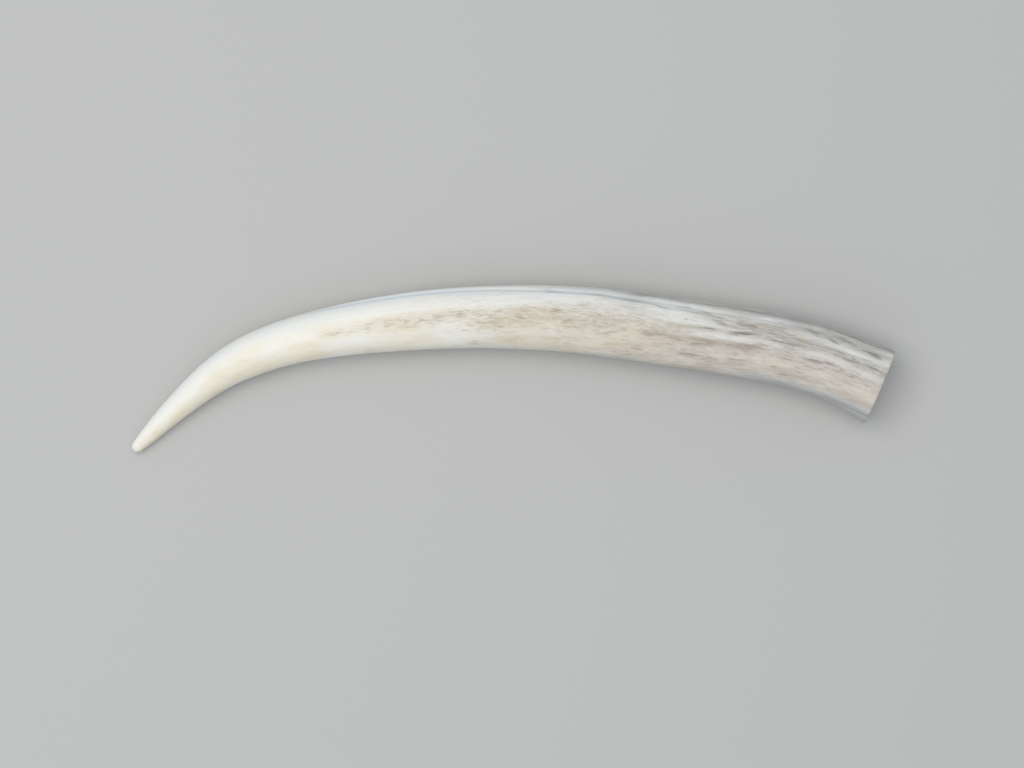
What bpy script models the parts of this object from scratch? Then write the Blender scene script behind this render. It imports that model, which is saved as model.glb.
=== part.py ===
"""One tine sawn off a deer antler, lying on its side.

Metres, +Z up. The tine lies along X with its tip at -X and its saw cut at +X, and it bows towards +Y.
The origin is under the middle of its bounding box, on the surface that it rests on.
"""

import math

import bmesh
import bpy
import numpy as np

NODE = "antler_tine"

# The growth axis, from the tip to the saw cut: the distance along it, its heading in plan in degrees
# anticlockwise from +X, the section's half breadth and half height, and the underside's lift off the table
STATIONS = np.array(
    [
        [0.000, 46.0, 0.00210, 0.00200, 0.0010],
        [0.011, 45.0, 0.00385, 0.00370, 0.0001],
        [0.026, 42.2, 0.00540, 0.00525, 0.0001],
        [0.041, 37.4, 0.00685, 0.00660, 0.0005],
        [0.058, 25.8, 0.00830, 0.00785, 0.0009],
        [0.081, 14.6, 0.00945, 0.00890, 0.0012],
        [0.106, 8.4, 0.01075, 0.01000, 0.0008],
        [0.136, 4.4, 0.01210, 0.01110, 0.0002],
        [0.161, 0.2, 0.01270, 0.01160, 0.0000],
        [0.186, -3.2, 0.01335, 0.01200, 0.0000],
        [0.211, -7.4, 0.01385, 0.01225, 0.0003],
        [0.236, -8.6, 0.01405, 0.01240, 0.0006],
        [0.263, -9.6, 0.01415, 0.01255, 0.0005],
        [0.286, -15.6, 0.01440, 0.01285, 0.0002],
        [0.304, -22.0, 0.01430, 0.01325, 0.0000],
        [0.319, -23.0, 0.01475, 0.01355, 0.0000],
    ]
)
ALONG, HEADING, HALF_BREADTH, HALF_HEIGHT, LIFT = STATIONS.T
LENGTH = ALONG[-1]
AXIS_STEPS = 1600

TIP_ROUND = 0.0023
TIP_SQUARENESS = 2.0
CUT_SQUARENESS = 2.25

# The saw cut's face looks this far above the axis, in degrees, and the last of the tine leans with it
CUT_LEAN = 4.0
LEANING_LENGTH = 0.030

# The broad gutters: where each starts and ends along the axis, its angle round the section at those places,
# in degrees from the +Y side over the top, its half width and its depth
GUTTERS = (
    (0.081, 0.267, 16.0, 46.0, 0.0013, 0.00060),
    (0.206, 0.331, 12.0, 19.0, 0.0014, 0.00055),
    (0.239, 0.331, 42.0, 37.0, 0.0016, 0.00060),
    (0.091, 0.216, 84.0, 72.0, 0.0022, 0.00035),
    (0.215, 0.331, 77.0, 60.0, 0.0016, 0.00050),
    (0.197, 0.301, 103.0, 90.0, 0.0020, 0.00045),
    (0.151, 0.263, 124.0, 126.0, 0.0020, 0.00025),
    (0.279, 0.341, 172.0, 153.0, 0.0011, 0.00060),
    (0.121, 0.331, 205.0, 208.0, 0.0018, 0.00045),
    (0.101, 0.281, 234.0, 240.0, 0.0020, 0.00045),
    (0.171, 0.331, 262.0, 254.0, 0.0018, 0.00050),
    (0.096, 0.331, 296.0, 300.0, 0.0022, 0.00055),
    (0.131, 0.331, 330.0, 336.0, 0.0018, 0.00050),
)
GUTTER_FADE = 0.028

# The flare towards the beam that the tine grew from, on the -Y side of the last stretch before the cut
FLARE_LENGTH = 0.026
FLARE_OUT = 0.0021
FLARE_ANGLE = 188.0
FLARE_SPREAD = 26.0

TIP_RINGS = 4
BODY_RINGS = 62
COLUMNS = 72

BONE_COLOUR = (0.66, 0.61, 0.50, 1.0)
BONE_ROUGHNESS = 0.45


def smooth(values, along):
    """The stations' values joined by a smooth curve, whose slopes are those of the stations themselves."""
    slopes = np.gradient(values, ALONG)
    i = np.clip(np.searchsorted(ALONG, along) - 1, 0, len(ALONG) - 2)
    step = ALONG[i + 1] - ALONG[i]
    t = (along - ALONG[i]) / step
    rise = values[i + 1] - values[i]
    ease = t * t * (3 - 2 * t)
    bend = t * (t - 1) * ((t - 1) * slopes[i] + t * slopes[i + 1]) * step
    return values[i] + rise * ease + bend


def ramp(x, start, end):
    """0 at start and 1 at end, smooth between."""
    t = np.clip((x - start) / (end - start), 0, 1)
    return t * t * (3 - 2 * t)


def axis_points(along):
    """The growth axis in plan, from its heading, as x and y at each distance along it."""
    fine = np.linspace(0, LENGTH, AXIS_STEPS)
    heading = np.radians(smooth(HEADING, fine))
    middle = (heading[1:] + heading[:-1]) / 2
    step = np.diff(fine)
    x = np.concatenate([[0], np.cumsum(np.cos(middle) * step)])
    y = np.concatenate([[0], np.cumsum(np.sin(middle) * step)])
    return np.interp(along, fine, x), np.interp(along, fine, y)


def angle_between(a, b):
    """How far angle a is past angle b, in degrees, the short way round."""
    return (a - b + 180) % 360 - 180


def gutter_depth(along, around, mean_radius):
    """How deep the gutters go at each place, all of them together."""
    depth = np.zeros(np.broadcast(along, around).shape)
    for start, end, angle_start, angle_end, half_width, deepest in GUTTERS:
        share = np.clip((along - start) / (end - start), 0, 1)
        middle = angle_start + (angle_end - angle_start) * share
        aside = np.radians(angle_between(around, middle)) * mean_radius
        fade = ramp(along, start, start + GUTTER_FADE) * ramp(along, end, end - GUTTER_FADE)
        depth += deepest * fade * np.exp(-((aside / half_width) ** 2))
    return depth


def flare(along, around):
    """How far the section swells outwards near the cut."""
    near_cut = ramp(along, LENGTH - FLARE_LENGTH, LENGTH) ** 2
    return FLARE_OUT * near_cut * np.exp(-((angle_between(around, FLARE_ANGLE) / FLARE_SPREAD) ** 2))


def tine_surface(along, around):
    """The surface's points: a ring for each distance along the axis, a column for each angle in degrees."""
    along = along[:, None]
    around = around[None, :]
    turn = np.radians(around)
    rounding = np.sqrt(1 - (1 - np.clip(along / TIP_ROUND, 0, 1)) ** 2)
    half_breadth = smooth(HALF_BREADTH, along) * rounding
    half_height = smooth(HALF_HEIGHT, along) * rounding
    power = 2 / (TIP_SQUARENESS + (CUT_SQUARENESS - TIP_SQUARENESS) * along / LENGTH)

    aside = half_breadth * np.sign(np.cos(turn)) * np.abs(np.cos(turn)) ** power
    above = half_height * np.sign(np.sin(turn)) * np.abs(np.sin(turn)) ** power
    mean_radius = (half_breadth + half_height) / 2
    outwards = flare(along, around) - gutter_depth(along, around, mean_radius)
    aside = aside + outwards * np.cos(turn)
    above = above + outwards * np.sin(turn)

    leaning = ramp(along, LENGTH - LEANING_LENGTH, LENGTH)
    forwards = -above * math.tan(math.radians(CUT_LEAN)) * leaning
    heading = np.radians(smooth(HEADING, along))
    axis_x, axis_y = axis_points(along)
    x = axis_x + forwards * np.cos(heading) - aside * np.sin(heading)
    y = axis_y + forwards * np.sin(heading) + aside * np.cos(heading)
    z = smooth(HALF_HEIGHT, along) + smooth(LIFT, along) + above
    return np.stack([x, y, z], axis=-1)


def ring_places():
    """Distances along the axis of the rings: close over the round tip, then even to the cut."""
    quarter = np.linspace(0, math.pi / 2, TIP_RINGS + 1)[1:]
    tip = TIP_ROUND * (1 - np.cos(quarter))
    body = np.linspace(TIP_ROUND, LENGTH, BODY_RINGS + 1)[1:]
    return np.concatenate([tip, body])


def tine_mesh():
    """A loft of the rings, closed by a point at the tip and by the flat face of the saw cut."""
    around = np.arange(COLUMNS) * 360 / COLUMNS
    rings = tine_surface(ring_places(), around)
    tip = tine_surface(np.zeros(1), around).mean(axis=(0, 1))
    points = np.concatenate([[tip], rings.reshape(-1, 3)])
    low, high = points.min(axis=0), points.max(axis=0)
    points -= [(low[0] + high[0]) / 2, (low[1] + high[1]) / 2, low[2]]

    bm = bmesh.new()
    verts = [bm.verts.new(point) for point in points]
    tip_vert = verts[0]
    loops = [verts[1 + i * COLUMNS : 1 + (i + 1) * COLUMNS] for i in range(len(rings))]
    for j in range(COLUMNS):
        after = (j + 1) % COLUMNS
        bm.faces.new((tip_vert, loops[0][after], loops[0][j]))
        for ring, further in zip(loops, loops[1:]):
            bm.faces.new((ring[j], ring[after], further[after], further[j]))
    cut = bm.faces.new(loops[-1])
    bmesh.ops.recalc_face_normals(bm, faces=bm.faces)
    for face in bm.faces:
        face.smooth = face is not cut
    for edge in cut.edges:
        edge.smooth = False
    mesh = bpy.data.meshes.new(NODE)
    bm.to_mesh(mesh)
    bm.free()
    return mesh


def bone_material():
    material = bpy.data.materials.new("bone")
    material.use_nodes = True
    shader = material.node_tree.nodes["Principled BSDF"]
    shader.inputs["Base Color"].default_value = BONE_COLOUR
    shader.inputs["Roughness"].default_value = BONE_ROUGHNESS
    shader.inputs["Metallic"].default_value = 0.0
    return material


def main():
    for old in list(bpy.data.objects):
        bpy.data.objects.remove(old, do_unlink=True)
    collection = bpy.data.collections.new("deer_antler")
    bpy.context.scene.collection.children.link(collection)
    tine = bpy.data.objects.new(NODE, tine_mesh())
    tine.data.materials.append(bone_material())
    collection.objects.link(tine)


main()
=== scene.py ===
"""A sawn deer antler tine lying on a pale floor, seen from straight above.

The tine's form is the construction's own, built again with a finer mesh and with the grain, the stained
grooves, the painted reflection and shade along its gutters and edges, and the porous saw cut that the
construction leaves out. Metres, +Z up.
"""

import math

import bpy
import numpy as np
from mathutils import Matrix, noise
from mathutils.geometry import delaunay_2d_cdt


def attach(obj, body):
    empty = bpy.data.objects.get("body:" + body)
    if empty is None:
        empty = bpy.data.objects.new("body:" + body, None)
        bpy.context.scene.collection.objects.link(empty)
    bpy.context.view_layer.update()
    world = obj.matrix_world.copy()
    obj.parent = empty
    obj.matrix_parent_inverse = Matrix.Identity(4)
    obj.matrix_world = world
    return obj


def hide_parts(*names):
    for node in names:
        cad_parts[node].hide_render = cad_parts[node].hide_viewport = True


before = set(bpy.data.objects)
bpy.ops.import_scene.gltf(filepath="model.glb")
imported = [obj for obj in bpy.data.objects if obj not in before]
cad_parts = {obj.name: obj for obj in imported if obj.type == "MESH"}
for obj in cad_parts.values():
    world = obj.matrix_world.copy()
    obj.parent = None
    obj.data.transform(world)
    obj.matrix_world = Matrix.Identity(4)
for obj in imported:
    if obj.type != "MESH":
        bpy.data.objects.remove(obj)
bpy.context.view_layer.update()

NODE = "antler_tine"
MM = 0.001

# The growth axis, from the tip to the saw cut: the distance along it, its heading in plan in degrees
# anticlockwise from +X, the section's half breadth and half height, and the underside's lift off the floor
STATIONS = np.array(
    [
        [0.000, 46.0, 0.00210, 0.00200, 0.0010],
        [0.011, 45.0, 0.00385, 0.00370, 0.0001],
        [0.026, 42.2, 0.00540, 0.00525, 0.0001],
        [0.041, 37.4, 0.00685, 0.00660, 0.0005],
        [0.058, 25.8, 0.00830, 0.00785, 0.0009],
        [0.081, 14.6, 0.00945, 0.00890, 0.0012],
        [0.106, 8.4, 0.01075, 0.01000, 0.0008],
        [0.136, 4.4, 0.01210, 0.01110, 0.0002],
        [0.161, 0.2, 0.01270, 0.01160, 0.0000],
        [0.186, -3.2, 0.01335, 0.01200, 0.0000],
        [0.211, -7.4, 0.01385, 0.01225, 0.0003],
        [0.236, -8.6, 0.01405, 0.01240, 0.0006],
        [0.263, -9.6, 0.01415, 0.01255, 0.0005],
        [0.286, -15.6, 0.01440, 0.01285, 0.0002],
        [0.304, -22.0, 0.01430, 0.01325, 0.0000],
        [0.319, -23.0, 0.01475, 0.01355, 0.0000],
    ]
)
ALONG, HEADING, HALF_BREADTH, HALF_HEIGHT, LIFT = STATIONS.T
LENGTH = ALONG[-1]
AXIS_STEPS = 1600

TIP_ROUND = 0.0023
TIP_SQUARENESS = 2.0
CUT_SQUARENESS = 2.25

# The saw cut's face looks this far above the axis, in degrees, and the last of the tine leans with it
CUT_LEAN = 4.0
LEANING_LENGTH = 0.030

# The broad gutters: where each starts and ends along the axis, its angle round the section at those places,
# in degrees from the +Y side over the top, its half width and its depth
GUTTERS = (
    (0.081, 0.267, 16.0, 46.0, 0.0013, 0.00060),
    (0.206, 0.331, 12.0, 19.0, 0.0014, 0.00055),
    (0.239, 0.331, 42.0, 37.0, 0.0016, 0.00060),
    (0.091, 0.216, 84.0, 72.0, 0.0022, 0.00035),
    (0.215, 0.331, 77.0, 60.0, 0.0016, 0.00050),
    (0.197, 0.301, 103.0, 90.0, 0.0020, 0.00045),
    (0.151, 0.263, 124.0, 126.0, 0.0020, 0.00025),
    (0.279, 0.341, 172.0, 153.0, 0.0011, 0.00060),
    (0.121, 0.331, 205.0, 208.0, 0.0018, 0.00045),
    (0.101, 0.281, 234.0, 240.0, 0.0020, 0.00045),
    (0.171, 0.331, 262.0, 254.0, 0.0018, 0.00050),
    (0.096, 0.331, 296.0, 300.0, 0.0022, 0.00055),
    (0.131, 0.331, 330.0, 336.0, 0.0018, 0.00050),
)
GUTTER_FADE = 0.028

# The flare towards the beam that the tine grew from, on the -Y side of the last stretch before the cut
FLARE_LENGTH = 0.026
FLARE_OUT = 0.0021
FLARE_ANGLE = 188.0
FLARE_SPREAD = 26.0

# The fine mesh: the rings over the round tip, how far apart the others are at the smooth point and near the
# saw cut, where along the axis they draw closer, how many points each ring has, and at which angles
TIP_RINGS = 8
RING_STEP_AT_POINT = 0.0016
RING_STEP_AT_CUT = 0.00084
RINGS_CLOSER = (0.050, 0.150)
COLUMNS = 272
AROUND = (np.arange(COLUMNS) * 360 / COLUMNS)[None, :]

# The kinds of lumps in the grain: how long each is along the tine, how wide across, and where in the noise it
# starts
LUMPS = {
    "first sway": (0.030, 0.008, 3.7),
    "second sway": (0.030, 0.008, 9.1),
    "broad wander": (0.018, 0.012, 6.3),
    "fine wander": (0.009, 0.004, 2.2),
    "patches": (0.010, 0.0020, 1.3),
    "swell": (0.045, 0.0065, 2.9),
    "wide grooves": (0.060, 0.0030, 7.7),
    "narrow grooves": (0.026, 0.0015, 4.4),
    "furrows": (0.020, 0.0013, 5.8),
    "fine furrows": (0.008, 0.0008, 1.9),
    "fine grain": (0.005, 0.0009, 8.3),
}

# How far the grain sways, how many degrees the marks wander, and how patchy the broad and pale ones are
SWAY = 0.0010
BROAD_WANDER = 3.2
FINE_WANDER = 1.8
PATCHINESS = 0.5

# The relief: how far all of it is sunk, and how high or deep each kind goes
ALL_SUNK = 0.00012
SWELL_HEIGHT = 0.00009
WIDE_GROOVE_DEPTH = 0.00010
NARROW_GROOVE_DEPTH = 0.00006
FURROW_DEPTH = 0.00016
FINE_FURROW_DEPTH = 0.00007
FINE_GRAIN_DEPTH = 0.00003
MOTTLED_DEPTH = 0.00005
STREAK_DEPTH = 0.00014
PALE_HEIGHT = 0.00004

# A groove follows the line where its noise passes through nought, and is as wide as this much of the noise
WIDE_GROOVE_EDGE = 0.10
NARROW_GROOVE_EDGE = 0.12

# Where along the axis each kind of relief grows in, and how much of the swell and the grooves is everywhere
POINT_EVENS_OUT = (0.0, 0.012)
WORN = (0.060, 0.250)
FURROWED = (0.195, 0.270)
PALE_RAISED = (0.190, 0.240)
LEAST_SWELL = 0.3
LEAST_GROOVES = 0.15

# The smooth side: its angle, how far off it in degrees the relief grows back, and how much of the relief is
# left in its middle
SMOOTH_SIDE = 150.0
SMOOTH_SIDE_FADE = (25, 70)
LEAST_ON_SMOOTH_SIDE = 0.25

# The side that faces the window light, painted whiter and cooler: its angle, and how far off it in degrees the
# creamier, darker colour sets in. The white is partly the bone's own and partly painted light and sky
# reflection, the cream partly the bone's own and partly painted shade
LIT_IVORY_SIDE = 45.0
LIT_IVORY_SIDE_FADE = (12, 62)

# Marks on the surface. In millimetres and degrees: start and end along the axis, the angle round the section
# at those places and the half width, then the strength and the tone. First the broad ones, where flecks lie
# thick
MOTTLED = (
    (84, 184, 96, 84, 2.0, 0.36, "brown"),
    (108, 176, 106, 101, 2.4, 0.26, "khaki"),
    (138, 172, 118, 114, 1.6, 0.30, "khaki"),
    (108, 184, 87, 83, 3.4, 0.36, "khaki"),
    (160, 250, 83, 82, 3.4, 0.56, "khaki"),
    (96, 196, 87, 81, 2.6, 0.26, "ochre"),
    (146, 250, 100, 98, 3.0, 0.42, "khaki"),
    (176, 236, 66, 68, 1.6, 0.30, "khaki"),
    (208, 294, 98, 90, 2.2, 0.62, "brown"),
    (236, 292, 61, 66, 3.0, 0.56, "brown"),
    (256, 300, 66, 69, 2.0, 0.50, "khaki"),
    (250, 350, 77, 72, 2.8, 0.52, "grey"),
    (262, 350, 46, 44, 3.6, 0.16, "grey"),
    (228, 350, 57, 56, 3.0, 0.30, "grey"),
    (202, 350, 17, 20, 3.6, 0.92, "drab"),
    (216, 292, 127, 129, 2.2, 0.32, "brown"),
    (150, 240, 128, 134, 4.0, 0.30, "ochre"),
    # These two marks darken the lower side: grey painted shade there, partly a stain
    (118, 360, 186, 178, 4.4, 0.40, "smoke_and_shade"),
    (170, 350, 188, 161, 5.0, 0.72, "smoke_and_shade"),
    (204, 350, 182, 188, 1.6, 0.50, "brown"),
    (110, 350, 207, 209, 2.6, 0.50, "khaki"),
    (96, 310, 236, 242, 3.0, 0.60, "brown"),
    (165, 350, 262, 254, 3.0, 0.66, "brown"),
    (90, 350, 297, 301, 3.2, 0.66, "khaki"),
    (126, 350, 331, 337, 3.0, 0.75, "drab"),
    (240, 350, 222, 226, 3.2, 0.60, "grey"),
    (240, 350, 280, 276, 3.0, 0.62, "grey"),
    (236, 350, 316, 320, 3.0, 0.70, "brown"),
)
MOTTLED_FADE = 16.0

# Single stained grooves, whose ends fade over this share of their length
STREAK_FADE = 0.4
STREAKS = (
    (91, 103, 97, 92, 0.80, 0.42, "brown"),
    (104, 120, 88, 86, 0.70, 0.22, "brown"),
    (119, 123, 94, 94, 0.45, 0.40, "brown"),
    (126, 138, 91, 91, 0.60, 0.34, "brown"),
    (137, 142, 87, 86, 0.45, 0.42, "brown"),
    (146, 149, 85, 83, 0.45, 0.55, "brown"),
    (149, 152, 79, 77, 0.45, 0.50, "khaki"),
    (154, 157, 85, 87, 0.50, 0.40, "khaki"),
    (160, 165, 81, 80, 0.50, 0.52, "khaki"),
    (164, 169, 91, 88, 0.45, 0.42, "brown"),
    (109, 112, 105, 104, 0.55, 0.32, "grey"),
    (146, 153, 116, 115, 0.45, 0.44, "brown"),
    (153.5, 156, 117, 117, 0.45, 0.62, "brown"),
    (152, 154.5, 141, 142, 0.55, 0.70, "khaki"),
    (148, 157, 147, 152, 1.40, 0.66, "khaki"),
    (160, 167, 107, 102, 0.45, 0.70, "grey"),
    (165, 171, 119, 116, 0.40, 0.40, "grey"),
    (140, 144, 114, 117, 0.40, 0.34, "grey"),
    (170, 174, 88, 93, 0.50, 0.86, "brown"),
    (174, 182, 99, 103, 0.45, 0.46, "grey"),
    (182, 189, 83, 75, 0.60, 0.84, "brown"),
    (187, 194, 97, 87, 0.50, 0.86, "brown"),
    (190, 198, 104, 101, 0.45, 0.42, "khaki"),
    (186, 189, 114, 112, 0.40, 0.50, "brown"),
    (171, 173, 56, 54, 0.40, 0.40, "grey"),
    (177.5, 179, 56, 55, 0.35, 0.60, "grey"),
    (192, 205, 68, 65, 0.55, 0.44, "khaki"),
    (198, 206, 81, 77, 0.55, 0.50, "khaki"),
    (201, 213, 110, 98, 0.55, 0.78, "brown"),
    (211, 215, 98, 94, 0.50, 0.50, "khaki"),
    (203, 213, 132, 123, 0.80, 0.75, "ochre"),
    (217, 223, 131, 129, 0.60, 0.98, "brown"),
    (216, 228, 109, 108, 0.50, 0.40, "khaki"),
    (219, 231, 99, 97, 0.70, 0.70, "brown"),
    (215, 225, 71, 72, 0.40, 0.46, "grey"),
    (235, 238, 67, 66, 0.40, 0.72, "grey"),
    # These slate streaks are painted shade along the bottom of the upper gutter, partly a grey stain
    (179, 189, 31, 37, 1.30, 0.52, "slate_and_shade"),
    (194, 209, 35, 38, 1.10, 0.50, "slate_and_shade"),
    (206, 222, 40, 45, 1.20, 0.60, "slate_and_shade"),
    (230, 240, 41, 43, 1.20, 0.60, "grey"),
    (222, 232, 49, 53, 0.60, 0.70, "grey"),
    (240, 248, 47, 50, 0.60, 0.70, "grey"),
    (238, 252, 77, 75, 0.50, 0.90, "grey"),
    (252, 267, 78, 77, 0.75, 0.95, "grey"),
    (266, 290, 80, 80, 0.45, 0.75, "grey"),
    (236, 254, 102, 97, 1.50, 0.95, "brown"),
    (252, 272, 99, 92, 1.35, 0.98, "brown"),
    (263, 270, 99, 99, 0.60, 0.60, "brown"),
    (281, 303, 95, 90, 0.60, 0.98, "grey"),
    # This slate streak is painted shade along the bottom of the upper gutter, partly a grey stain
    (256, 288, 27, 33, 1.70, 0.60, "slate_and_shade"),
    (295, 308, 99, 94, 0.45, 0.46, "grey"),
    (232, 247, 128, 124, 0.70, 0.92, "brown"),
    (246, 253, 125, 130, 0.60, 0.82, "brown"),
    (253, 265, 124, 119, 0.70, 0.84, "brown"),
    (272, 277, 120, 118, 0.55, 0.98, "brown"),
    (264, 269, 130, 137, 0.60, 0.58, "khaki"),
    (274, 284, 134, 131, 0.70, 0.86, "brown"),
    (282, 291, 130, 128, 0.60, 0.66, "brown"),
    (246, 253, 60, 66, 0.55, 0.60, "brown"),
    (255, 266, 62, 58, 0.55, 0.56, "brown"),
    (274, 290, 64, 71, 1.00, 0.88, "khaki"),
    (249, 254, 61, 65, 0.60, 0.98, "brown"),
    (260, 266, 58, 62, 0.60, 0.98, "brown"),
    (267, 273, 59, 64, 0.80, 0.80, "khaki"),
    (255, 262, 57, 59, 0.80, 0.80, "brown"),
    (295, 303, 69, 72, 0.70, 0.86, "brown"),
    (283, 290, 46, 51, 1.00, 0.98, "brown"),
    (282, 286, 40, 46, 0.80, 0.60, "grey"),
    (269, 276, 38, 43, 0.90, 0.34, "grey"),
    (290, 298, 51, 59, 0.55, 0.88, "grey"),
    (293, 304, 38, 40, 1.10, 0.76, "grey"),
    (294, 309, 78, 75, 0.60, 0.80, "grey"),
    (302, 308, 71, 74, 0.65, 0.86, "grey"),
    (309, 316, 71, 73, 0.55, 0.70, "grey"),
    (304, 318, 43, 55, 1.00, 1.00, "grey"),
    (206, 222, 163, 161, 0.70, 0.60, "grey"),
    (228, 247, 176, 172, 0.80, 0.80, "brown"),
    (252, 262, 160, 161, 0.50, 0.60, "brown"),
    (262, 281, 184, 179, 0.80, 0.75, "grey"),
    (184, 197, 182, 180, 0.70, 0.55, "brown"),
    (246, 263, 233, 236, 0.80, 0.70, "grey"),
    (270, 293, 262, 258, 0.90, 0.75, "brown"),
    (214, 229, 300, 300, 0.70, 0.60, "grey"),
    (268, 285, 288, 290, 0.80, 0.80, "grey"),
    (288, 307, 318, 322, 0.80, 0.80, "brown"),
    (190, 205, 331, 332, 0.60, 0.60, "grey"),
    (250, 276, 212, 215, 0.70, 0.70, "brown"),
    (292, 312, 238, 241, 0.80, 0.75, "grey"),
    (296, 316, 272, 268, 0.70, 0.70, "grey"),
)

# Paler ridges between the stained grooves
PALE = (
    (214, 292, 87, 86, 1.4, 0.66, "chalk"),
    (270, 350, 86, 84, 1.0, 0.34, "chalk"),
    (205, 300, 70, 71, 1.2, 0.58, "chalk"),
    (150, 262, 50, 56, 3.0, 0.55, "chalk"),
    (208, 262, 34, 42, 1.8, 0.60, "chalk"),
    (250, 290, 42, 44, 2.4, 0.95, "chalk"),
    (276, 350, 62, 60, 1.6, 0.80, "chalk"),
    (282, 308, 22, 22, 1.8, 0.60, "chalk"),
    (298, 350, 36, 40, 1.8, 0.80, "chalk"),
    (240, 350, 250, 246, 1.8, 0.50, "chalk"),
    (200, 350, 310, 312, 2.0, 0.55, "chalk"),
)
PALE_FADE = 20.0

# Cool and blue-grey marks, with sides sharper than the other marks'. The cool ones are painted reflection of
# the pale sky on the upper side and the lower edge. The slate ones are painted shade along the gutters' bottoms
# and the lower edge, partly a grey stain
PAINTED_REFLECTION_AND_SHADE = (
    (14, 250, 26, 33, 4.0, 0.32, "cool"),
    (84, 160, 22, 27, 2.8, 0.80, "cool"),
    (146, 206, 32, 38, 2.4, 0.42, "cool"),
    (176, 232, 35, 44, 1.5, 0.20, "slate_and_shade"),
    (200, 236, 43, 52, 0.50, 0.62, "slate_and_shade"),
    (224, 264, 50, 59, 0.45, 0.72, "slate_and_shade"),
    (16, 150, 164, 160, 1.2, 0.22, "cool"),
    (250, 370, 155, 150, 3.0, 0.30, "cool"),
    (258, 380, 160, 154, 3.2, 0.76, "slate_and_shade"),
    (282, 370, 168, 164, 3.0, 0.85, "slate_and_shade"),
    (282, 350, 172, 155, 0.60, 0.80, "slate_and_shade"),
)
PAINTED_REFLECTION_AND_SHADE_FADE = 14.0
PAINTED_REFLECTION_AND_SHADE_SHARPNESS = 3

# The saw cut: the rim's bevel, the share of the way out that its porous core reaches, and its random seed
RIM_BEVEL = 0.0003
CORE_SHARE = 0.62
CUT_SEED = 11

# Its points: how far apart, how far off their even places, how large beside the rim the outermost ones' outline
# is, how far past the core the close ones go, how near two points may come, and the kind of mesh
CORE_SPACING = 0.00030
SHELL_SPACING = 0.00060
JITTER = 0.22
SHELL_SIZE = 0.975
PAST_CORE = 0.06
SAME_POINT = 1e-7
TRIANGLES_INSIDE = 1

# Its pores: how many, between which radii before those in the middle are made larger and the outer ones
# smaller, how far out they reach as a share of the core, and from which radius on they are deepest
PORE_COUNT = 260
PORE_RADII = (0.00022, 0.00075)
PORE_IN_MIDDLE = 1.15
PORE_SHRINKS = 0.75
PORES_REACH = 1.04
PORE_DEPTH = 0.0007
DEEPEST_FROM = 0.0005

# The map for textures: a strip for each quarter of the length, with its left and bottom edges, its width and
# its height, and the saw cut's middle, with how much of the map a metre of it takes
STRIPS = (
    (0.01, 0.69, 0.48, 0.30),
    (0.51, 0.51, 0.48, 0.48),
    (0.51, 0.01, 0.48, 0.48),
    (0.01, 0.01, 0.48, 0.48),
)
CUT_IN_MAP = np.array([0.12, 0.59])
CUT_MAP_SCALE = 5.8

# The range that most of the noise's values lie in
USUAL_NOISE = (0.30, 0.70)

# The kinds of grain in the colour: how wide the lumps of each are, how many times as long as wide, and the
# detail and the roughness of its noise
PATCHES = (0.0090, 3.0, 3.0, 0.55)
BLOTCHES = (0.0035, 4.0, 4.0, 0.60)
SHORT_FLECKS = (0.00068, 5.5, 4.0, 0.60)
LONG_FLECKS = (0.00062, 12.0, 5.0, 0.62)
DUST_GRAIN = (0.00050, 8.0, 3.0, 0.60)

# The grain's curls: how wide they are, the share that the length is squeezed to first, which makes them long,
# and their reach in the short flecks and in the long ones
CURL_CELL = 0.0045
CURL_SQUEEZE = 0.45
SHORT_CURL = 0.0024
LONG_CURL = 0.0012

# Flecks: the value of their pattern from which those of a weak mark show, how much lower it is for a strong
# one, and how soft their edges are
FLECKS_FROM = 0.62
FLECKS_CLOSER = 0.50
FLECK_SOFTNESS = 0.34

# Where along the axis the bone ages, dust settles, flecks turn long, the polish wears off and the fine grain
# comes to be felt
AGEING = (0.110, 0.300)
DUST_SETTLES = (0.09, 0.27)
FLECKS_LENGTHEN = (0.190, 0.270)
POLISH_WEARS = (0.02, 0.30)
GRAIN_IS_FELT = (0.06, 0.26)

# The range of the patches or blotches over which each change of colour comes on, and of the grain for dust
CREAM_PATCHES = (0.1, 0.8)
WARM_BLOTCHES = (0.40, 0.90)
AGED_BLOTCHES = (0.20, 0.80)
DUSTY_BLOTCHES = (0.25, 0.75)
DUST_SPECKS = (0.50, 0.95)

# How strong the changes of colour are: at least, at most, or between the two
LEAST_CREAM = 0.22
MOST_WARM = 0.60
AGED_IN_BLOTCHES = (0.54, 0.94)
MOST_AGED = 1.3
DUST_TOWARDS_CUT = (0.07, 0.74)
LEAST_DUST = 0.35

# The polished bone's roughness at the point and at the cut, how much rougher stains and grain are, and how
# strongly bone refracts
POLISH_ROUGHNESS = (0.43, 0.50)
STAIN_ROUGHER = 0.18
GRAIN_ROUGHER = 0.06
BONE_IOR = 1.50

# How much of the fine grain is felt at the point, and how far stains are sunk beside it
LEAST_GRAIN = 0.15
STAIN_SUNK = 0.6

# The saw cut's noises: how wide their lumps are, their detail and their roughness
SPONGE = (0.00046, 4.0, 0.65)
CLOUD = (0.0040, 3.0, 0.50)
SAW_LINES = (0.00035, 2.0, 0.55)

# The share that the saw's lines are squeezed to first, which makes them long, and how tan they are at most
SAW_SQUEEZE = 0.03
MOST_SAW_TAN = 0.22

# Over which range of their noise or depth the ring turns pale, the sponge brown, the saw's lines tan and the
# pores brown
PALE_CLOUDS = (0.40, 0.65)
BROWN_SPONGE = (0.48, 0.68)
TAN_SAW_LINES = (0.52, 0.70)
BROWN_PORES = (0.05, 0.7)

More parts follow.
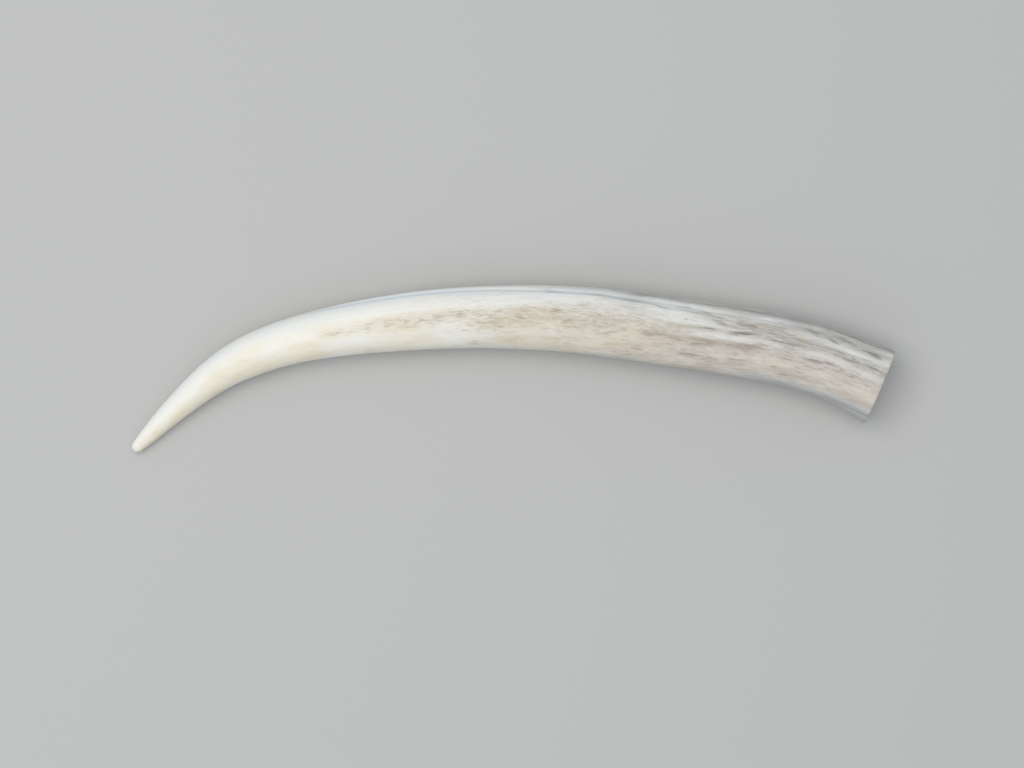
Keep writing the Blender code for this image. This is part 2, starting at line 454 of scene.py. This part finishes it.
# The core: where its edge starts and ends, as shares of the way from the rim to the middle, how far that
# wavers, how deep its sponge is beside the saw's lines, and how much rougher than the ring it is
CORE_EDGE = (0.28, 0.46)
CORE_WAVERS = 0.20
SPONGE_SUNK = 1.5
RING_ROUGHNESS = 0.50
CORE_ROUGHER = 0.25

FLOOR_SIZE = 6.0

# The camera looks straight down, and its frame is this wide where the tine is widest
CAMERA_X = 0.0001
CAMERA_Y = -0.0061
CAMERA_HEIGHT = 1.2
WIDEST_HEIGHT = 0.012
VIEW_WIDTH = 0.4096
SENSOR_WIDTH = 36.0


def smooth(values, along):
    """The stations' values joined by a smooth curve, whose slopes are those of the stations themselves."""
    slopes = np.gradient(values, ALONG)
    i = np.clip(np.searchsorted(ALONG, along) - 1, 0, len(ALONG) - 2)
    step = ALONG[i + 1] - ALONG[i]
    t = (along - ALONG[i]) / step
    rise = values[i + 1] - values[i]
    ease = t * t * (3 - 2 * t)
    bend = t * (t - 1) * ((t - 1) * slopes[i] + t * slopes[i + 1]) * step
    return values[i] + rise * ease + bend


def ramp(x, start, end):
    """0 at start and 1 at end, smooth between."""
    t = np.clip((x - start) / (end - start), 0, 1)
    return t * t * (3 - 2 * t)


def axis_points(along):
    """The growth axis in plan, from its heading, as x and y at each distance along it."""
    fine = np.linspace(0, LENGTH, AXIS_STEPS)
    heading = np.radians(smooth(HEADING, fine))
    middle = (heading[1:] + heading[:-1]) / 2
    step = np.diff(fine)
    x = np.concatenate([[0], np.cumsum(np.cos(middle) * step)])
    y = np.concatenate([[0], np.cumsum(np.sin(middle) * step)])
    return np.interp(along, fine, x), np.interp(along, fine, y)


def angle_between(a, b):
    """How far angle a is past angle b, in degrees, the short way round."""
    return (a - b + 180) % 360 - 180


def mean_radius(along):
    """The mean of the section's half breadth and half height."""
    return (smooth(HALF_BREADTH, along) + smooth(HALF_HEIGHT, along)) / 2


def gutter_depth(along, around):
    """How deep the gutters go at each place, all of them together."""
    depth = np.zeros(np.broadcast(along, around).shape)
    for start, end, angle_start, angle_end, half_width, deepest in GUTTERS:
        share = np.clip((along - start) / (end - start), 0, 1)
        middle = angle_start + (angle_end - angle_start) * share
        aside = np.radians(angle_between(around, middle)) * mean_radius(along)
        fade = ramp(along, start, start + GUTTER_FADE) * ramp(along, end, end - GUTTER_FADE)
        depth += deepest * fade * np.exp(-((aside / half_width) ** 2))
    return depth


def flare(along, around):
    """How far the section swells outwards near the cut."""
    near_cut = ramp(along, LENGTH - FLARE_LENGTH, LENGTH) ** 2
    return FLARE_OUT * near_cut * np.exp(-((angle_between(around, FLARE_ANGLE) / FLARE_SPREAD) ** 2))


def section_points(along, around, raised):
    """Each place's two coordinates in its own section, with the surface raised by so much, or sunk."""
    turn = np.radians(around)
    rounding = np.sqrt(1 - (1 - np.clip(along / TIP_ROUND, 0, 1)) ** 2)
    power = 2 / (TIP_SQUARENESS + (CUT_SQUARENESS - TIP_SQUARENESS) * along / LENGTH)
    aside = smooth(HALF_BREADTH, along) * rounding * np.sign(np.cos(turn)) * np.abs(np.cos(turn)) ** power
    above = smooth(HALF_HEIGHT, along) * rounding * np.sign(np.sin(turn)) * np.abs(np.sin(turn)) ** power
    outwards = flare(along, around) - gutter_depth(along, around) + raised
    return aside + outwards * np.cos(turn), above + outwards * np.sin(turn)


def in_space(along, aside, above, sunk=0.0):
    """A section's points in space. The last sections lean back with the saw cut; sunk is along the axis."""
    leaning = ramp(along, LENGTH - LEANING_LENGTH, LENGTH)
    forwards = -above * math.tan(math.radians(CUT_LEAN)) * leaning - sunk
    heading = np.radians(smooth(HEADING, along))
    axis_x, axis_y = axis_points(along)
    x = axis_x + forwards * np.cos(heading) - aside * np.sin(heading)
    y = axis_y + forwards * np.sin(heading) + aside * np.cos(heading)
    z = smooth(HALF_HEIGHT, along) + smooth(LIFT, along) + above
    return np.stack([x, y, z], axis=-1)


def rod_places(along, around):
    """Where each place lies on the tine when it is straightened, with the grain along X."""
    turn = np.radians(around)
    radius = mean_radius(along)
    return np.stack(np.broadcast_arrays(along, radius * np.cos(turn), radius * np.sin(turn)), axis=-1)


def at_least(lowest, share):
    """A share that runs from 0 to 1, made to run from the lowest to 1."""
    return lowest + (1 - lowest) * share


def lumps(rod, kind):
    """Smooth noise between -1 and 1 in lumps of one kind."""
    length, width, start = LUMPS[kind]
    places = rod / (length, width, width) + start
    values = [noise.noise(place) for place in places.reshape(-1, 3).tolist()]
    return np.array(values).reshape(rod.shape[:-1])


def wavering(rod):
    """The straightened places, with the grain made to waver a little."""
    first = lumps(rod, "first sway") * SWAY
    second = lumps(rod, "second sway") * SWAY
    return rod + np.stack([np.zeros_like(first), first, second], axis=-1)


def mark_at(along, around, path, fade, sharpness=2):
    """A mark's mask: 1 in its middle and 0 off it, with its ends faded over so many millimetres."""
    start, end, angle_start, angle_end, half_width = path
    share = np.clip((along / MM - start) / (end - start), 0, 1)
    middle = angle_start + (angle_end - angle_start) * share
    aside = np.radians(angle_between(around, middle)) * mean_radius(along) / MM
    ends = ramp(along / MM, start, start + fade) * ramp(along / MM, end, end - fade)
    return ends * np.exp(-(np.abs(aside / half_width) ** sharpness))


def covered(a, b):
    """Two masks laid over each other."""
    return 1 - (1 - a) * (1 - b)


def marked(along, around, rod):
    """The marks' masks by tone, and how deep the stained grooves are."""
    # Marks wander off their straight paths by a few degrees, so that none looks ruled
    around = around + BROAD_WANDER * lumps(rod, "broad wander") + FINE_WANDER * lumps(rod, "fine wander")
    masks = {tone: np.zeros(rod.shape[:-1]) for tone in TONE_LOOKS}
    depth = np.zeros(rod.shape[:-1])
    patchy = 1 + PATCHINESS * lumps(rod, "patches")
    for *path, strength, tone in MOTTLED:
        mask = strength * mark_at(along, around, path, MOTTLED_FADE) * patchy
        masks[tone] = covered(masks[tone], np.clip(mask, 0, 1))
        depth += MOTTLED_DEPTH * mask
    for *path, strength, tone in STREAKS:
        start, end, *_ = path
        mask = strength * mark_at(along, around, path, STREAK_FADE * (end - start))
        masks[tone] = covered(masks[tone], mask)
        depth += STREAK_DEPTH * mask
    for *path, strength, tone in PALE:
        mask = strength * mark_at(along, around, path, PALE_FADE) * patchy
        masks[tone] = covered(masks[tone], np.clip(mask, 0, 1))
        depth -= PALE_HEIGHT * mask * ramp(along, *PALE_RAISED)
    # Painted cool reflection and painted shade, laid on as masks like the marks
    for *path, strength, tone in PAINTED_REFLECTION_AND_SHADE:
        mask = strength * mark_at(along, around, path, PAINTED_REFLECTION_AND_SHADE_FADE, PAINTED_REFLECTION_AND_SHADE_SHARPNESS)
        masks[tone] = covered(masks[tone], mask)
    return masks, depth


def grain_relief(along, around, rod):
    """The surface's own relief, mostly sunk: low undulations, long meandering grooves and fine grain."""
    worn = ramp(along, *WORN)
    furrowed = ramp(along, *FURROWED)
    off_smooth_side = ramp(np.abs(angle_between(around, SMOOTH_SIDE)), *SMOOTH_SIDE_FADE)
    side = at_least(LEAST_ON_SMOOTH_SIDE, off_smooth_side)
    swell = SWELL_HEIGHT * lumps(rod, "swell") * at_least(LEAST_SWELL, worn)
    wide = WIDE_GROOVE_DEPTH * np.exp(-((lumps(rod, "wide grooves") / WIDE_GROOVE_EDGE) ** 2))
    narrow = NARROW_GROOVE_DEPTH * np.exp(-((lumps(rod, "narrow grooves") / NARROW_GROOVE_EDGE) ** 2))
    grooves = (wide + narrow) * at_least(LEAST_GROOVES, side) * worn
    furrows = FURROW_DEPTH * lumps(rod, "furrows") + FINE_FURROW_DEPTH * lumps(rod, "fine furrows")
    fine = FINE_GRAIN_DEPTH * lumps(rod, "fine grain") * worn
    return -ALL_SUNK + swell - grooves + fine + furrows * furrowed * side


def ring_places():
    """The rings' distances along the axis: close over the round tip, then wide, then closer by the cut."""
    quarter = np.linspace(0, math.pi / 2, TIP_RINGS + 1)[1:]
    tip = TIP_ROUND * (1 - np.cos(quarter))
    fine = np.linspace(TIP_ROUND, LENGTH - RIM_BEVEL, AXIS_STEPS)
    step = RING_STEP_AT_POINT + (RING_STEP_AT_CUT - RING_STEP_AT_POINT) * ramp(fine, *RINGS_CLOSER)
    rings_passed = np.concatenate([[0], np.cumsum((fine[1] - fine[0]) / step[1:])])
    body = np.interp(np.linspace(0, rings_passed[-1], int(rings_passed[-1]) + 1)[1:], rings_passed, fine)
    return np.concatenate([tip, body])


def inside_outline(points, outline):
    """Which of the points are inside the closed outline, by the crossings of a ray."""
    inside = np.zeros(len(points), bool)
    for a, b in zip(outline, np.roll(outline, -1, axis=0)):
        spans = (a[1] > points[:, 1]) != (b[1] > points[:, 1])
        with np.errstate(divide="ignore", invalid="ignore"):
            crossing = a[0] + (points[:, 1] - a[1]) * (b[0] - a[0]) / (b[1] - a[1])
        inside ^= spans & (points[:, 0] < crossing)
    return inside


def scattered(outline, spacing, rng):
    """A jittered triangular grid of points over the outline."""
    low, high = outline.min(axis=0), outline.max(axis=0)
    rows = np.arange(low[1], high[1], spacing * math.sqrt(3) / 2)
    points = []
    for i, y in enumerate(rows):
        across = np.arange(low[0] + spacing / 2 * (i % 2), high[0], spacing)
        points.extend((x, y) for x in across)
    points = np.array(points) + rng.uniform(-JITTER, JITTER, (len(points), 2)) * spacing
    return points[inside_outline(points, outline)]


def reach_of(rim, centre, angle):
    """How far the rim is from the centre in each direction."""
    offset = rim - centre
    rim_angle = np.degrees(np.arctan2(offset[:, 1], offset[:, 0])) % 360
    order = np.argsort(rim_angle)
    return np.interp(angle % 360, rim_angle[order], np.hypot(*offset.T)[order], period=360)


def pore_depths(places, rim, centre, rng):
    """Round pores in the core, larger towards its middle."""
    angle = rng.uniform(0, 360, PORE_COUNT)
    share = CORE_SHARE * PORES_REACH * np.sqrt(rng.uniform(0, 1, PORE_COUNT))
    direction = np.stack([np.cos(np.radians(angle)), np.sin(np.radians(angle))], axis=-1)
    pores = centre + (share * reach_of(rim, centre, angle))[:, None] * direction
    radii = rng.uniform(*PORE_RADII, PORE_COUNT) * (PORE_IN_MIDDLE - PORE_SHRINKS * share / CORE_SHARE)
    depth = np.zeros(len(places))
    for pore, radius in zip(pores, radii):
        away = np.hypot(*(places - pore).T) / radius
        bowl = np.sqrt(np.clip(1 - away**2, 0, 1)) * min(1, radius / DEEPEST_FROM)
        depth = np.maximum(depth, PORE_DEPTH * bowl)
    return depth


def cut_face(rim):
    """The saw cut inside its rim: points, triangles, how far out each point is and how deep its pore is."""
    rng = np.random.default_rng(CUT_SEED)
    centre = rim.mean(axis=0)
    shell = scattered(centre + (rim - centre) * SHELL_SIZE, SHELL_SPACING, rng)
    core_outline = centre + (rim - centre) * (CORE_SHARE + PAST_CORE)
    core = scattered(core_outline, CORE_SPACING, rng)
    shell = shell[~inside_outline(shell, core_outline)]
    points = [tuple(point) for point in np.concatenate([rim, shell, core]).tolist()]
    edges = [(i, (i + 1) % len(rim)) for i in range(len(rim))]
    places, _, triangles, *_ = delaunay_2d_cdt(points, edges, [], TRIANGLES_INSIDE, SAME_POINT)
    places = np.array([tuple(place) for place in places])
    offset = places - centre
    angle = np.degrees(np.arctan2(offset[:, 1], offset[:, 0]))
    share = np.hypot(*offset.T) / reach_of(rim, centre, angle)
    return places, triangles, share, pore_depths(places, rim, centre, rng)


def tine_points():
    """The grown surface's rings with their masks, and the rim of the saw cut in its section."""
    along = np.append(ring_places(), LENGTH)[:, None]
    straight = rod_places(along, AROUND)
    rod = wavering(straight)
    masks, stain_depth = marked(along, AROUND, rod)
    raised = grain_relief(along, AROUND, rod) - stain_depth
    raised *= ramp(along, *POINT_EVENS_OUT)
    raised[-1] -= RIM_BEVEL
    aside, above = section_points(along, AROUND, raised)
    points = in_space(along, aside, above)
    rim = np.stack([aside[-1], above[-1]], axis=-1)
    # Creamier and darker away from the lit side: partly the bone's tone, partly painted shade
    cream_and_shade = ramp(np.abs(angle_between(AROUND, LIT_IVORY_SIDE)), *LIT_IVORY_SIDE_FADE)
    masks["cream_and_shade"] = np.broadcast_to(cream_and_shade, raised.shape)
    return points, rim, masks, straight


def middle_of_form():
    """The middle in plan of the smooth form's box, which the construction puts over the origin."""
    along = ring_places()[:, None]
    form = in_space(along, *section_points(along, AROUND, 0.0)).reshape(-1, 3)
    middle = (form.min(axis=0) + form.max(axis=0)) / 2
    return np.array([middle[0], middle[1], 0.0])


def in_strip(along, turns, quarter):
    """Where a place on the grown surface lies in the strip of a quarter of the length."""
    left, bottom, width, height = STRIPS[quarter]
    return left + (along / LENGTH * len(STRIPS) - quarter) * width, bottom + turns * height


def grown_surface(along):
    """The faces from the point to the rim, and where each face's corners lie in the map."""
    quarters = [int((near + far) / 2 / LENGTH * len(STRIPS)) for near, far in zip(along, along[1:])]
    faces, corners = [], []
    for j in range(COLUMNS):
        after = (j + 1) % COLUMNS
        low, middle, high = j / COLUMNS, (j + 0.5) / COLUMNS, (j + 1) / COLUMNS
        faces.append((0, 1 + after, 1 + j))
        corners.extend([in_strip(0, middle, 0), in_strip(along[0], high, 0), in_strip(along[0], low, 0)])
        for ring, quarter in enumerate(quarters):
            near = 1 + ring * COLUMNS
            far = near + COLUMNS
            faces.append((near + j, near + after, far + after, far + j))
            corners.extend(in_strip(along[ring], turns, quarter) for turns in (low, high))
            corners.extend(in_strip(along[ring + 1], turns, quarter) for turns in (high, low))
    return faces, corners


def build_tine():
    """One closed mesh: the tip's point, the rings, the rim's bevel and the saw cut."""
    rings, rim, masks, straight = tine_points()
    places, triangles, share, pore_depth = cut_face(rim)
    tip = in_space(np.zeros(1), np.zeros(1), np.zeros(1))
    face = in_space(np.full(len(places), LENGTH), places[:, 0], places[:, 1], pore_depth)
    points = np.concatenate([tip, rings.reshape(-1, 3), face[COLUMNS:]]) - middle_of_form()

    faces, corners = grown_surface(straight[:, 0, 0].tolist())
    grown_faces = len(faces)
    rim_start = 1 + (len(rings) - 1) * COLUMNS
    faces.extend(tuple(rim_start + i for i in triangle) for triangle in triangles)
    on_cut = CUT_IN_MAP + places * CUT_MAP_SCALE
    corners.extend(tuple(on_cut[i]) for triangle in triangles for i in triangle)

    mesh = bpy.data.meshes.new("antler_tine_grown")
    mesh.from_pydata(points.tolist(), [], faces)
    mesh.uv_layers.new(name="OFBake").data.foreach_set("uv", np.array(corners, np.float32).ravel())
    slots = np.zeros(len(mesh.polygons), np.int32)
    slots[grown_faces:] = 1
    mesh.polygons.foreach_set("material_index", slots)
    add_attributes(mesh, masks, straight, places, share, pore_depth)
    mesh.shade_smooth()
    mesh.update()
    return mesh


def add_attributes(mesh, masks, straight, places, share, pore_depth):
    """What the materials read at each point: the masks, the straightened place and the cut's own values."""
    inner = len(places) - COLUMNS
    outer = len(mesh.vertices) - inner
    values = {}
    for tone, mask in masks.items():
        values[tone] = np.concatenate([[0.0], mask.reshape(-1), np.zeros(inner)])
    values["inwards"] = np.concatenate([np.zeros(outer), 1 - share[COLUMNS:]])
    values["pore"] = np.concatenate([np.zeros(outer), pore_depth[COLUMNS:] / PORE_DEPTH])
    for name, whole in values.items():
        layer = mesh.attributes.new(name, "FLOAT", "POINT")
        layer.data.foreach_set("value", whole.astype(np.float32))
    flat = np.stack([np.full(inner, LENGTH), places[COLUMNS:, 0], places[COLUMNS:, 1]], axis=-1)
    grown = np.concatenate([[[0.0, 0.0, 0.0]], straight.reshape(-1, 3), flat])
    layer = mesh.attributes.new("grown", "FLOAT_VECTOR", "POINT")
    layer.data.foreach_set("vector", grown.astype(np.float32).ravel())


def add(tree, kind, inputs=None, **settings):
    """A node with its settings, and its inputs by name or number, each a value or another node's output."""
    node = tree.nodes.new(kind)
    for name, value in settings.items():
        setattr(node, name, value)
    for name, value in (inputs or {}).items():
        if isinstance(value, bpy.types.NodeSocket):
            tree.links.new(value, node.inputs[name])
        else:
            node.inputs[name].default_value = value
    return node


def read(tree, name, output="Fac"):
    """What the mesh says under a name at each point."""
    return add(tree, "ShaderNodeAttribute", attribute_name=name).outputs[output]


def vector_maths(tree, operation, a, b):
    return add(tree, "ShaderNodeVectorMath", {0: a, 1: b}, operation=operation).outputs["Vector"]


def maths(tree, operation, *values):
    return add(tree, "ShaderNodeMath", dict(enumerate(values)), operation=operation).outputs["Value"]


def noise_node(tree, vector, cell, detail, roughness):
    """Noise whose lumps are about cell metres wide."""
    inputs = {"Vector": vector, "Scale": 1 / cell, "Detail": detail, "Roughness": roughness}
    return add(tree, "ShaderNodeTexNoise", inputs)


def grain(tree, vector, cell, stretch, detail, roughness):
    """Noise in lumps cell metres wide and stretch times as long, with its usual range spread over 0 to 1."""
    shortened = vector_maths(tree, "MULTIPLY", vector, (1 / stretch, 1, 1))
    value = noise_node(tree, shortened, cell, detail, roughness).outputs["Fac"]
    lowest, highest = USUAL_NOISE
    inputs = {"Value": value, "From Min": lowest, "From Max": highest}
    return add(tree, "ShaderNodeMapRange", inputs).outputs["Result"]


def between(tree, value, low, high, to_low=0.0, to_high=1.0):
    """A value that rises smoothly from to_low to to_high while another goes from low to high."""
    inputs = {"Value": value, "From Min": low, "From Max": high, "To Min": to_low, "To Max": to_high}
    return add(tree, "ShaderNodeMapRange", inputs, interpolation_type="SMOOTHSTEP").outputs["Result"]


def laid_over(tree, colour, factor, other):
    """One colour with another laid over it."""
    return add(tree, "ShaderNodeMix", {0: factor, 6: colour, 7: other}, data_type="RGBA").outputs[2]


def mixed(tree, a, b, share):
    """One value turning into another."""
    return add(tree, "ShaderNodeMix", {0: share, 2: a, 3: b}, data_type="FLOAT").outputs[0]


def swirled(tree, vector, reach):
    """The straightened places pushed about by up to half the reach, so that the grain curls."""
    shortened = vector_maths(tree, "MULTIPLY", vector, (CURL_SQUEEZE, 1, 1))
    push = noise_node(tree, shortened, CURL_CELL, detail=2.0, roughness=0.55)
    centred = vector_maths(tree, "SUBTRACT", push.outputs["Color"], (0.5, 0.5, 0.5))
    return vector_maths(tree, "ADD", vector, vector_maths(tree, "MULTIPLY", centred, (reach, reach, reach)))


def shown(tree, density, pattern, evenness):
    """How much of a mark shows: an even wash and flecks, which lie closer where the mark is stronger."""
    threshold = maths(tree, "MULTIPLY_ADD", density, -FLECKS_CLOSER, FLECKS_FROM)
    flecks = between(tree, maths(tree, "SUBTRACT", pattern, threshold), 0.0, FLECK_SOFTNESS)
    share = maths(tree, "MULTIPLY_ADD", flecks, 1 - evenness, evenness)
    return maths(tree, "MULTIPLY", density, share)


def rgb(red, green, blue):
    return (red, green, blue, 1.0)


IVORY = rgb(0.84, 0.83, 0.80)
CREAM = rgb(0.80, 0.745, 0.61)
WARM = rgb(0.74, 0.645, 0.50)
AGED_IVORY = rgb(0.56, 0.545, 0.52)
AGED_CREAM = rgb(0.555, 0.502, 0.457)
DUSTY = rgb(0.30, 0.27, 0.235)

# Each tone's colour, how much of it is an even wash, and whether its flecks are long from the tip on
TONE_LOOKS = {
    "chalk": (rgb(0.84, 0.84, 0.825), 0.60, True),
    # cool: painted reflection of the pale sky on the gutters and edges
    "cool": (rgb(0.72, 0.775, 0.82), 0.85, True),
    # slate: blue-grey painted shade in the gutters and along the lower edge, partly a grey stain
    "slate_and_shade": (rgb(0.35, 0.38, 0.40), 0.70, True),
    # smoke: grey painted shade along the lower side, partly a stain
    "smoke_and_shade": (rgb(0.43, 0.415, 0.385), 0.35, True),
    "drab": (rgb(0.34, 0.345, 0.33), 0.55, True),
    "khaki": (rgb(0.45, 0.395, 0.30), 0.32, False),
    "ochre": (rgb(0.56, 0.45, 0.31), 0.60, False),
    "brown": (rgb(0.38, 0.32, 0.27), 0.30, False),
    "grey": (rgb(0.25, 0.232, 0.215), 0.30, False),
}

# The tones whose marks are duller and more sunk than the bone
DULL_TONES = ("khaki", "brown", "grey")

# The saw cut's colours, the floor's and the sky's
RING_CREAM = rgb(0.82, 0.735, 0.61)
RING_PALE = rgb(0.86, 0.80, 0.71)
CORE_TAN = rgb(0.57, 0.47, 0.36)
PORE_BROWN = rgb(0.27, 0.195, 0.135)
FLOOR_GREY = rgb(0.505, 0.503, 0.50)
SKY = rgb(0.88, 0.945, 1.0)


def new_material(name):
    """A material, its node tree and its shader."""
    material = bpy.data.materials.new(name)
    material.use_nodes = True
    tree = material.node_tree
    return material, tree, tree.nodes["Principled BSDF"]


def bone_colour(tree, grown, distance, pattern, long, fine):
    """The bone's colour, aged and dusty towards the cut, with the marks on it; and how stained it is."""
    patches = grain(tree, grown, *PATCHES)
    blotches = grain(tree, grown, *BLOTCHES)
    # Cream and warm blotches away from the lit side: partly the bone's tone, partly painted shade
    cream_and_shade = maths(tree, "MULTIPLY", read(tree, "cream_and_shade"), between(tree, patches, *CREAM_PATCHES, LEAST_CREAM))
    colour = laid_over(tree, IVORY, cream_and_shade, CREAM)
    warm = maths(tree, "MULTIPLY", cream_and_shade, between(tree, blotches, *WARM_BLOTCHES, to_high=MOST_WARM))
    colour = laid_over(tree, colour, warm, WARM)
    patchy = between(tree, blotches, *AGED_BLOTCHES, *AGED_IN_BLOTCHES)
    aged = maths(tree, "MULTIPLY", between(tree, distance, *AGEING, to_high=MOST_AGED), patchy)
    colour = laid_over(tree, colour, aged, laid_over(tree, AGED_IVORY, read(tree, "cream_and_shade"), AGED_CREAM))
    settled = between(tree, distance, *DUST_SETTLES, *DUST_TOWARDS_CUT)
    settled = maths(tree, "MULTIPLY", settled, between(tree, blotches, *DUSTY_BLOTCHES, LEAST_DUST))
    dusty = maths(tree, "MULTIPLY", between(tree, fine, *DUST_SPECKS), settled)
    colour = laid_over(tree, colour, dusty, DUSTY)
    stained = None
    for tone, (tone_colour, evenness, is_long) in TONE_LOOKS.items():
        amount = shown(tree, read(tree, tone), long if is_long else pattern, evenness)
        colour = laid_over(tree, colour, amount, tone_colour)
        if tone in DULL_TONES:
            stained = amount if stained is None else maths(tree, "MAXIMUM", stained, amount)
    return colour, stained


def grown_material():
    """Polished antler: its colour, and a satin surface that is duller and sunk where it is stained."""
    material, tree, shader = new_material("antler_bone")
    grown = read(tree, "grown", "Vector")
    distance = add(tree, "ShaderNodeSeparateXYZ", {0: grown}).outputs["X"]
    combed = swirled(tree, grown, LONG_CURL)
    short = grain(tree, swirled(tree, grown, SHORT_CURL), *SHORT_FLECKS)
    long = grain(tree, combed, *LONG_FLECKS)
    pattern = mixed(tree, short, long, between(tree, distance, *FLECKS_LENGTHEN))
    fine = grain(tree, combed, *DUST_GRAIN)
    colour, stained = bone_colour(tree, grown, distance, pattern, long, fine)
    tree.links.new(colour, shader.inputs["Base Color"])

    rough = between(tree, distance, *POLISH_WEARS, *POLISH_ROUGHNESS)
    rough = maths(tree, "MULTIPLY_ADD", stained, STAIN_ROUGHER, rough)
    rough = maths(tree, "MULTIPLY_ADD", fine, GRAIN_ROUGHER, rough)
    tree.links.new(rough, shader.inputs["Roughness"])
    height = maths(tree, "MULTIPLY", pattern, between(tree, distance, *GRAIN_IS_FELT, LEAST_GRAIN))
    height = maths(tree, "SUBTRACT", height, maths(tree, "MULTIPLY", stained, STAIN_SUNK))
    bump = add(tree, "ShaderNodeBump", {"Strength": 0.5, "Distance": 0.00009, "Height": height})
    tree.links.new(bump.outputs["Normal"], shader.inputs["Normal"])
    shader.inputs["Subsurface Weight"].default_value = 0.25
    shader.inputs["Subsurface Radius"].default_value = (1.0, 0.80, 0.55)
    shader.inputs["Subsurface Scale"].default_value = 0.0020
    shader.inputs["IOR"].default_value = BONE_IOR
    return material


def cut_material():
    """The sawn face: a pale compact ring round a tan porous core, with the saw's lines across both."""
    material, tree, shader = new_material("antler_cut")
    grown = read(tree, "grown", "Vector")
    sponge = noise_node(tree, grown, *SPONGE).outputs["Fac"]
    cloud = noise_node(tree, grown, *CLOUD).outputs["Fac"]
    saw_places = vector_maths(tree, "MULTIPLY", grown, (1, SAW_SQUEEZE, 1))
    saw = noise_node(tree, saw_places, *SAW_LINES).outputs["Fac"]

    wavering_edge = maths(tree, "SUBTRACT", cloud, 0.5)
    inwards = maths(tree, "MULTIPLY_ADD", wavering_edge, CORE_WAVERS, read(tree, "inwards"))
    in_core = between(tree, inwards, *CORE_EDGE)
    colour = laid_over(tree, RING_CREAM, between(tree, cloud, *PALE_CLOUDS), RING_PALE)
    spongy = laid_over(tree, CORE_TAN, between(tree, sponge, *BROWN_SPONGE), PORE_BROWN)
    colour = laid_over(tree, colour, in_core, spongy)
    lines = between(tree, saw, *TAN_SAW_LINES, to_high=MOST_SAW_TAN)
    colour = laid_over(tree, colour, lines, CORE_TAN)
    colour = laid_over(tree, colour, between(tree, read(tree, "pore"), *BROWN_PORES), PORE_BROWN)
    tree.links.new(colour, shader.inputs["Base Color"])

    sunk = maths(tree, "MULTIPLY", maths(tree, "MULTIPLY", sponge, in_core), -SPONGE_SUNK)
    height = maths(tree, "ADD", saw, sunk)
    bump = add(tree, "ShaderNodeBump", {"Strength": 0.6, "Distance": 0.00012, "Height": height})
    tree.links.new(bump.outputs["Normal"], shader.inputs["Normal"])
    rough = maths(tree, "MULTIPLY_ADD", in_core, CORE_ROUGHER, RING_ROUGHNESS)
    tree.links.new(rough, shader.inputs["Roughness"])
    shader.inputs["IOR"].default_value = BONE_IOR
    return material


def floor_material():
    """A matt pale grey."""
    material, _, shader = new_material("pale_floor")
    shader.inputs["Base Color"].default_value = FLOOR_GREY
    shader.inputs["Roughness"].default_value = 0.85
    shader.inputs["Specular IOR Level"].default_value = 0.2
    return material


def make_stage():
    """A plain pale floor."""
    bpy.ops.mesh.primitive_plane_add(size=FLOOR_SIZE, location=(0, 0, 0))
    floor = bpy.context.object
    floor.name = "floor"
    floor.data.materials.append(floor_material())


def soft_light(name, place, size, power, colour):
    """A square soft light that looks at the tine."""
    light = bpy.data.lights.new(name, "AREA")
    light.size = size
    light.energy = power
    light.color = colour
    lamp = bpy.data.objects.new(name, light)
    lamp.location = place
    lamp.rotation_euler = (-lamp.location).to_track_quat("-Z", "Y").to_euler()
    bpy.context.scene.collection.objects.link(lamp)


def light_scene():
    """A wide soft light nearly overhead and a weak one from the hollow side, under a cool pale sky."""
    soft_light("window", place=(-0.35, 0.14, 1.40), size=1.2, power=13.2, colour=(1.0, 0.97, 0.91))
    soft_light("fill", place=(-0.55, -0.80, 0.70), size=0.8, power=0.9, colour=(0.94, 0.97, 1.0))
    world = bpy.data.worlds.new("studio")
    world.use_nodes = True
    background = world.node_tree.nodes["Background"]
    background.inputs["Color"].default_value = SKY
    background.inputs["Strength"].default_value = 0.56
    bpy.context.scene.world = world


def add_camera():
    """A camera straight above, whose frame is VIEW_WIDTH wide at WIDEST_HEIGHT."""
    camera = bpy.data.cameras.new("camera")
    camera.sensor_width = SENSOR_WIDTH
    camera.lens = SENSOR_WIDTH * (CAMERA_HEIGHT - WIDEST_HEIGHT) / VIEW_WIDTH
    holder = bpy.data.objects.new("camera", camera)
    holder.location = (CAMERA_X, CAMERA_Y, CAMERA_HEIGHT)
    bpy.context.scene.collection.objects.link(holder)
    bpy.context.scene.camera = holder


def main():
    tine = bpy.data.objects.new("antler_tine_grown", build_tine())
    bpy.context.scene.collection.objects.link(tine)
    tine.data.materials.append(grown_material())
    tine.data.materials.append(cut_material())
    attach(tine, "root")
    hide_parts(NODE)
    make_stage()
    light_scene()
    add_camera()
    bpy.context.scene.view_settings.view_transform = "Standard"


main()
